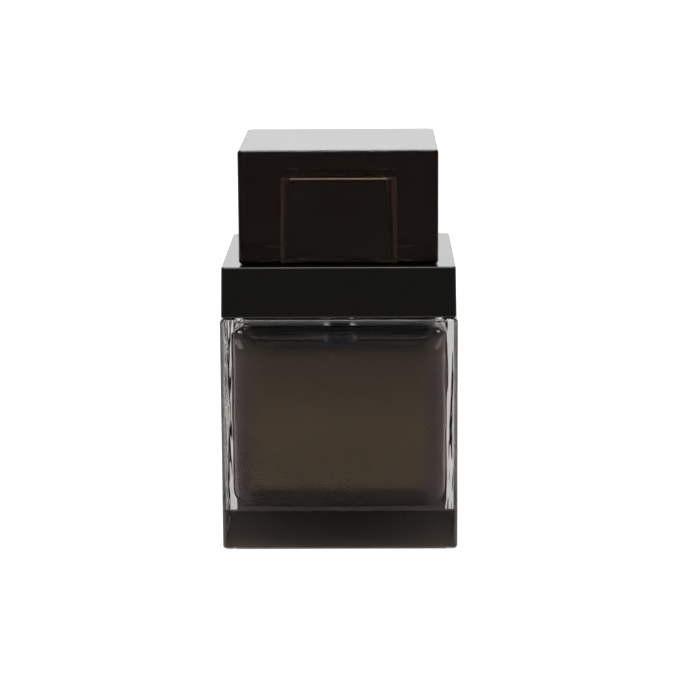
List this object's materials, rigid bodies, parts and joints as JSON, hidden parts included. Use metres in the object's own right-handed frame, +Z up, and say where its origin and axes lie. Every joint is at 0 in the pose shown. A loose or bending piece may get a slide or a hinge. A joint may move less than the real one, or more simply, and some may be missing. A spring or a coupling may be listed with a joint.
{
  "type": "aftershave bottle",
  "caption": "Square smoke-glass spray bottle of aftershave with a black collar, crimped mist pump and a heavy translucent lift-off cap.",
  "frame": {"origin": "middle of the bottle's underside, on the plane it stands on", "axes": "+Z up along the pump and the bottle's height, +X to the right of the bottle seen from the front, -Y out of the front, where the nozzle sprays"},
  "size_m": [0.058, 0.056, 0.0986],
  "materials": {
    "smoke_glass": "clear thick glass with a smoke tint, fire-polished",
    "brown_liquid": "dark brown clear liquid",
    "black_gloss": "black, high gloss",
    "black_plastic": "black, satin moulding",
    "dark_metal": "gunmetal anodised aluminium",
    "aluminium": "bare pressed aluminium",
    "seal_rubber": "black rubber seal",
    "white_plastic": "natural white acetal",
    "clear_plastic": "milky clear polypropylene",
    "spring_steel": "drawn stainless wire",
    "cap_smoke": "dark red-brown translucent plastic, polished"
  },
  "bodies": {
    "bottle": {"glass_bottle": "smoke_glass", "aftershave_liquid": "brown_liquid", "collar_cover": "black_gloss", "collar_retainer_ring": "black_plastic", "pump_collar_ring": "dark_metal", "pump_ferrule": "aluminium", "neck_gasket": "seal_rubber", "pump_turret": "white_plastic", "pump_housing": "black_plastic", "dip_tube": "clear_plastic", "return_spring": "spring_steel"},
    "stem": {"pump_stem": "white_plastic", "precompression_spring": "spring_steel"},
    "piston_valve": {"piston": "white_plastic"},
    "inlet_valve": {"inlet_ball": "spring_steel"},
    "actuator": {"actuator_button": "black_plastic", "actuator_shroud": "dark_metal", "nozzle_insert": "black_plastic"},
    "cap_sleeve": {"cap_grip_sleeve": "white_plastic"},
    "cap": {"cap_outer_block": "cap_smoke", "cap_core": "black_plastic"}
  },
  "joints": [
    {"name": "spray_press", "type": "slide", "parent": "bottle", "child": "stem", "axis": [0, 0, -1], "range_m": [0, 0.0045], "stiffness_N_per_m": 700, "springref_m": -0.004, "deforming": ["return_spring"]},
    {"name": "piston_slip", "type": "slide", "parent": "stem", "child": "piston_valve", "axis": [0, 0, 1], "range_m": [0, 0.0006], "stiffness_N_per_m": 900, "springref_m": -0.001, "deforming": ["precompression_spring"]},
    {"name": "inlet_ball_lift", "type": "slide", "parent": "bottle", "child": "inlet_valve", "axis": [0, 0, 1], "range_m": [0, 0.0006]},
    {"name": "actuator_turn", "type": "hinge", "parent": "stem", "child": "actuator", "pos_m": [0, 0, 0.079], "axis": [0, 0, 1], "continuous": true},
    {"name": "cap_lift", "type": "slide", "parent": "bottle", "child": "cap_sleeve", "axis": [0, 0, 1], "range_m": [0, 0.035]},
    {"name": "cap_turn", "type": "hinge", "parent": "cap_sleeve", "child": "cap", "pos_m": [0, 0, 0.0709], "axis": [0, 0, 1], "continuous": true}
  ]
}
